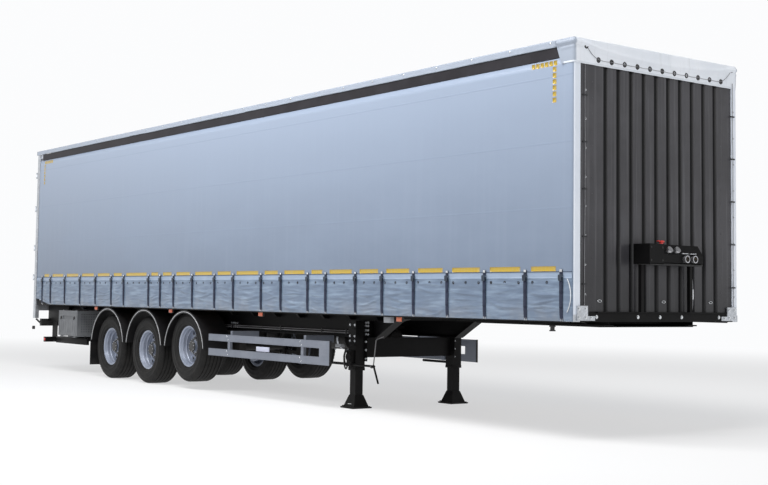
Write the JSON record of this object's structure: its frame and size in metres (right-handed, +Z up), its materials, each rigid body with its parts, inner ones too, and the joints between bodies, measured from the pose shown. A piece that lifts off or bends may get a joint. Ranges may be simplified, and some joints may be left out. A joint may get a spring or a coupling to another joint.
{
  "type": "three-axle curtain-side semi trailer",
  "caption": "Curtain-side semi trailer with a stepped-neck frame, lifted front axle, side guards, two swinging rear doors and landing legs, parked uncoupled.",
  "frame": {"origin": "middle of the overall box in plan, on the ground under the wheels and the legs' feet", "axes": "+X forwards to the coupling end, +Y to the left-hand side, +Z up"},
  "size_m": [14.018, 2.594, 4.016],
  "materials": {
    "chassis_black": "semi-gloss chassis paint with dust",
    "rave_grey": "dark powder coat",
    "floor_wood": "phenol-coated laminated wood",
    "wall_charcoal": "charcoal coil coat, low gloss",
    "post_white": "white gloss paint",
    "galvanised": "hot-dip galvanised, dull",
    "rail_aluminium": "mill finish",
    "rail_dark": "black roller track cover",
    "roof_fabric": "white coated tarpaulin",
    "curtain_fabric": "blue-grey coated tarpaulin, satin",
    "strap_webbing": "navy polyester webbing",
    "door_aluminium": "light grey coated aluminium",
    "buffer_rubber": "moulded black rubber",
    "lamp_carrier": "black plastic",
    "box_plastic": "moulded grey polyethylene",
    "axle_black": "black axle paint, dusty",
    "guard_plastic": "black moulded plastic",
    "guard_aluminium": "anodised side guard profile",
    "bare_steel": "machined steel with grease film",
    "lamp_amber": "amber lens",
    "tyre": "tyre rubber",
    "rim_silver": "silver wheel lacquer"
  },
  "bodies": {
    "chassis": {"main_beams": "chassis_black", "cross_members": "chassis_black", "side_raves": "rave_grey", "deck_floor": "floor_wood", "front_wall": "wall_charcoal", "front_posts": "post_white", "front_beam": "chassis_black", "front_corners": "galvanised", "roof_rails": "rail_aluminium", "curtain_rails": "rail_dark", "roof_bows": "rail_aluminium", "roof_cover": "roof_fabric", "roof_front_cap": "roof_fabric", "side_pillars": "galvanised", "curtain_right": "curtain_fabric", "curtain_left": "curtain_fabric", "curtain_straps": "strap_webbing", "rear_frame": "galvanised", "door_hinges": "galvanised", "rear_buffers": "buffer_rubber", "rear_lamp_bar": "lamp_carrier", "underrun_guard": "chassis_black", "toolbox": "box_plastic", "axles": "axle_black", "suspension": "axle_black", "air_springs": "buffer_rubber", "mudguards": "guard_plastic", "side_guards": "guard_aluminium", "landing_legs": "chassis_black", "leg_rams": "chassis_black", "coupler_plate": "chassis_black", "kingpin": "bare_steel", "air_tanks": "axle_black", "connection_box": "chassis_black", "couplings": "bare_steel", "side_markers": "lamp_amber"},
    "door_right": {"rear_door_right": "door_aluminium", "lock_rods_right": "galvanised"},
    "door_left": {"rear_door_left": "door_aluminium", "lock_rods_left": "galvanised"},
    "box_lid": {"toolbox_lid": "box_plastic"},
    "wheel_rear_right": {"tyre_rear_right": "tyre", "rim_rear_right": "rim_silver"},
    "wheel_rear_left": {"tyre_rear_left": "tyre", "rim_rear_left": "rim_silver"},
    "wheel_middle_right": {"tyre_middle_right": "tyre", "rim_middle_right": "rim_silver"},
    "wheel_middle_left": {"tyre_middle_left": "tyre", "rim_middle_left": "rim_silver"},
    "wheel_front_right": {"tyre_front_right": "tyre", "rim_front_right": "rim_silver"},
    "wheel_front_left": {"tyre_front_left": "tyre", "rim_front_left": "rim_silver"}
  },
  "joints": [
    {"name": "door_right_hinge", "type": "hinge", "parent": "chassis", "child": "door_right", "pos_m": [-6.97, -1.262, 2.5], "axis": [0, 0, 1], "range_deg": [0, 270]},
    {"name": "door_left_hinge", "type": "hinge", "parent": "chassis", "child": "door_left", "pos_m": [-6.97, 1.262, 2.5], "axis": [0, 0, -1], "range_deg": [0, 270]},
    {"name": "toolbox_lid_hinge", "type": "hinge", "parent": "chassis", "child": "box_lid", "pos_m": [-5.465, -1.204, 0.626], "axis": [1, 0, 0], "range_deg": [0, 105]},
    {"name": "wheel_rear_right_spin", "type": "hinge", "parent": "chassis", "child": "wheel_rear_right", "pos_m": [-3.815, -0.998, 0.522], "axis": [0, 1, 0], "continuous": true},
    {"name": "wheel_rear_left_spin", "type": "hinge", "parent": "chassis", "child": "wheel_rear_left", "pos_m": [-3.815, 0.998, 0.522], "axis": [0, 1, 0], "continuous": true},
    {"name": "wheel_middle_right_spin", "type": "hinge", "parent": "chassis", "child": "wheel_middle_right", "pos_m": [-2.505, -0.998, 0.522], "axis": [0, 1, 0], "continuous": true},
    {"name": "wheel_middle_left_spin", "type": "hinge", "parent": "chassis", "child": "wheel_middle_left", "pos_m": [-2.505, 0.998, 0.522], "axis": [0, 1, 0], "continuous": true},
    {"name": "wheel_front_right_spin", "type": "hinge", "parent": "chassis", "child": "wheel_front_right", "pos_m": [-1.195, -0.998, 0.625], "axis": [0, 1, 0], "continuous": true},
    {"name": "wheel_front_left_spin", "type": "hinge", "parent": "chassis", "child": "wheel_front_left", "pos_m": [-1.195, 0.998, 0.625], "axis": [0, 1, 0], "continuous": true}
  ]
}
